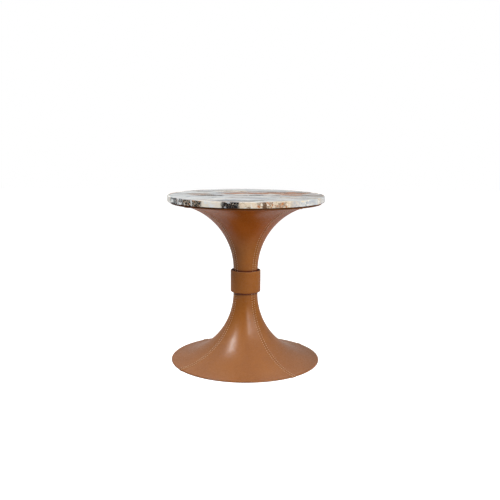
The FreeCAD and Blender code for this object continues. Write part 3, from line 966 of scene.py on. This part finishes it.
# countersunk screws with a six-sided socket, heads down in the cover
screw = {
    "count": 6,
    "first": 30.0,                # degrees from +X
    "corners": 24,
    "headRadius": 3.8,            # mm
    "headHeight": 1.6,
    "coreRadius": 1.62,
    "threadRadius": 2.0,
    "threadPitch": 0.7,
    "socket": 1.25,               # half the width across the flats
    "socketDepth": 1.3,
    "socketMouth": (1.08, 0.12),  # how much wider it opens, and how deep that goes
    "headEdge": (0.94, 0.18),     # how wide the flat of the head is, and how deep its edge goes
    "thread": (0.15, 0.3, 0.6),   # in each turn: the core from here to there, and the crest
    "tip": (0.7, 0.6),            # how thick it ends, and how long the end is
}


def screwRings(settings, length):
    corners = settings["corners"]
    half = math.pi / 6
    turns = [2 * math.pi * corner / corners for corner in range(corners)]
    sixSided = [settings["socket"] / math.cos(turn % (2 * half) - half) for turn in turns]
    head, core, crest = [settings[key] for key in ("headRadius", "coreRadius", "threadRadius")]
    wider, mouthDepth = settings["socketMouth"]
    flat, edgeDepth = settings["headEdge"]
    rings = [(sixSided, settings["socketDepth"]), (sixSided, mouthDepth),
             ([wider * reach for reach in sixSided], 0.0), (flat * head, 0.0), (head, edgeDepth),
             (crest, settings["headHeight"])]
    coreFrom, coreTo, crestAt = settings["thread"]
    thin, tipLength = settings["tip"]
    for turn in range(int((length - settings["headHeight"] - tipLength) / settings["threadPitch"])):
        start = settings["headHeight"] + turn * settings["threadPitch"]
        rings += [(core, start + coreFrom), (core, start + coreTo), (crest, start + crestAt)]
    return rings + [(thin * core, length)]


screwLow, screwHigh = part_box("cover_screws")
screwOrbit = screwHigh.y - screw["headRadius"] * millimetre
screwPlaces = roundAbout(screwOrbit, screw["count"], screw["first"], screwLow.z)
screws = turned("socket_screws", screwRings(screw, (screwHigh.z - screwLow.z) / millimetre), screwPlaces,
                screw["corners"], metal["zincSteel"])
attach(screws, "root")
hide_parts("cover_screws")

# rubber pads with a rounded edge and a ring pressed into the face
pad = {
    "count": 8,
    "corners": 48,
    "radius": 14.0,  # mm
    "edge": 0.7,
    "ring": (8.4, 9.6),
    "ringDepth": 0.35,
    "ringSlope": 0.2,
    "centre": 0.5,   # the face is closed by a small flat this wide
    "edgeSteps": 4,
    "backEdge": 0.15,
}


def padRings(settings, thick):
    keys = ("radius", "edge", "ringDepth", "ringSlope", "backEdge")
    radius, edge, depth, slope, back = [settings[key] for key in keys]
    inner, outer = settings["ring"]
    rings = [(settings["centre"], 0.0), (inner, 0.0), (inner + slope, depth), (outer - slope, depth), (outer, 0.0),
             (radius - edge, 0.0)]
    for step in range(1, settings["edgeSteps"] + 1):
        swing = step / settings["edgeSteps"] * math.pi / 2
        rings.append((radius - edge + edge * math.sin(swing), edge - edge * math.cos(swing)))
    return rings + [(radius, thick - back), (radius - back, thick)]


padLow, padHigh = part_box("floor_pads")
padPlaces = roundAbout(padHigh.x - pad["radius"] * millimetre, pad["count"], 0.0, padLow.z)
pads = turned("rubber_pads", padRings(pad, (padHigh.z - padLow.z) / millimetre), padPlaces, pad["corners"],
              coat["padRubber"])
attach(pads, "root")
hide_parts("floor_pads")
print("screws and pads made")


# floor, world and lamps
studio = {
    "floorColour": (0.47, 0.47, 0.465),
    "floorSize": 14.0,
    "floorRoughness": 0.9,
    "floorTone": 3,
    "floorToneBetween": (0.4, 0.6),
    "floorToneShare": 0.04,
    "floorDeeper": 0.9,  # of its own colour
    "floorGlow": 0.86,   # what the camera sees on top of the lit floor
    "ambient": 0.25,
    "lampsAim": 0.27,    # height of the place that all the lamps face
    # azimuth and elevation in degrees, distance and width in metres, power of the wash and of the gleam
    "lamps": {
        "leftHigh": (-81, 59, 2.0, 0.36, 0, 21),
        "leftMiddle": (-66, 48, 2.0, 0.36, 0, 33),
        "leftLow": (-57, 39, 2.0, 0.36, 0, 6),
        "leftSoftbox": (-75, 52, 2.0, 0.60, 37, 0),
        "frontFill": (26, 38, 2.6, 0.40, 13, 30),
        "frontLow": (22, 19, 2.6, 0.50, 18, 24),
        "rightSoftbox": (52, 27, 2.6, 1.50, 44, 68),
        "rightSide": (80, 30, 2.6, 1.20, 8, 0),
        "above": (0, 82, 2.6, 1.20, 13, 0),
    },
}


def seesBackground(tree):
    # camera, mirror and see-through rays meet the white surroundings
    path = addNode(tree, "ShaderNodeLightPath")
    both = combine(tree, "MAXIMUM", path.outputs["Is Camera Ray"], path.outputs["Is Glossy Ray"])
    return combine(tree, "MAXIMUM", both, path.outputs["Is Transmission Ray"])


def makeWorld(settings):
    world = bpy.data.worlds.new("studioWorld")
    bpy.context.scene.world = world
    world.use_nodes = True
    tree = world.node_tree
    light = tree.nodes["Background"]
    light.inputs["Color"].default_value = (1, 1, 1, 1)
    light.inputs["Strength"].default_value = settings["ambient"]
    white = addNode(tree, "ShaderNodeBackground", {"Color": (1, 1, 1, 1), "Strength": 1.0})
    inputs = {0: seesBackground(tree), 1: light.outputs[0], 2: white.outputs[0]}
    mixed = addNode(tree, "ShaderNodeMixShader", inputs)
    tree.links.new(mixed.outputs[0], tree.nodes["World Output"].inputs["Surface"])


def makeFloor(settings):
    half = settings["floorSize"] / 2
    mesh = bpy.data.meshes.new("floor")
    corners = [(-half, -half, 0), (half, -half, 0), (half, half, 0), (-half, half, 0)]
    mesh.from_pydata(corners, [], [(0, 1, 2, 3)])
    floor = bpy.data.objects.new("floor", mesh)
    bpy.context.scene.collection.objects.link(floor)
    material, tree, shader = startMaterial("paleFloor", settings["floorRoughness"])
    tone = noiseField(tree, place(tree), settings["floorTone"])
    tone = remap(tree, tone, *settings["floorToneBetween"], 0, settings["floorToneShare"])
    pale = settings["floorColour"]
    colour = blendColour(tree, tone, pale, [settings["floorDeeper"] * part for part in pale])
    tree.links.new(colour, shader.inputs["Base Color"])
    shader.inputs["Emission Color"].default_value = (1, 1, 1, 1)
    glow = combine(tree, "MULTIPLY", seesBackground(tree), settings["floorGlow"])
    tree.links.new(glow, shader.inputs["Emission Strength"])
    mesh.materials.append(material)


def makeLamps(settings):
    target = Vector((0, 0, settings["lampsAim"]))
    for name, (azimuth, elevation, distance, width, wash, gleam) in settings["lamps"].items():
        side, rise = math.radians(azimuth), math.radians(elevation)
        away = Vector((math.sin(side) * math.cos(rise), -math.cos(side) * math.cos(rise), math.sin(rise)))
        # the wash lights what is matt and the gleam shows only in what is glossy
        for kind, power in (("Wash", wash), ("Gleam", gleam)):
            if power == 0:
                continue
            data = bpy.data.lights.new(name + kind, "AREA")
            data.shape = "DISK"
            data.size = width
            data.energy = power
            made = bpy.data.objects.new(name + kind, data)
            made.visible_glossy = kind == "Gleam"
            made.visible_diffuse = kind == "Wash"
            made.location = target + away * distance
            made.rotation_euler = away.to_track_quat("Z", "Y").to_euler()
            bpy.context.scene.collection.objects.link(made)


makeWorld(studio)
makeFloor(studio)
makeLamps(studio)
scene = bpy.context.scene
scene.view_settings.view_transform = "Standard"
print("studio lit")
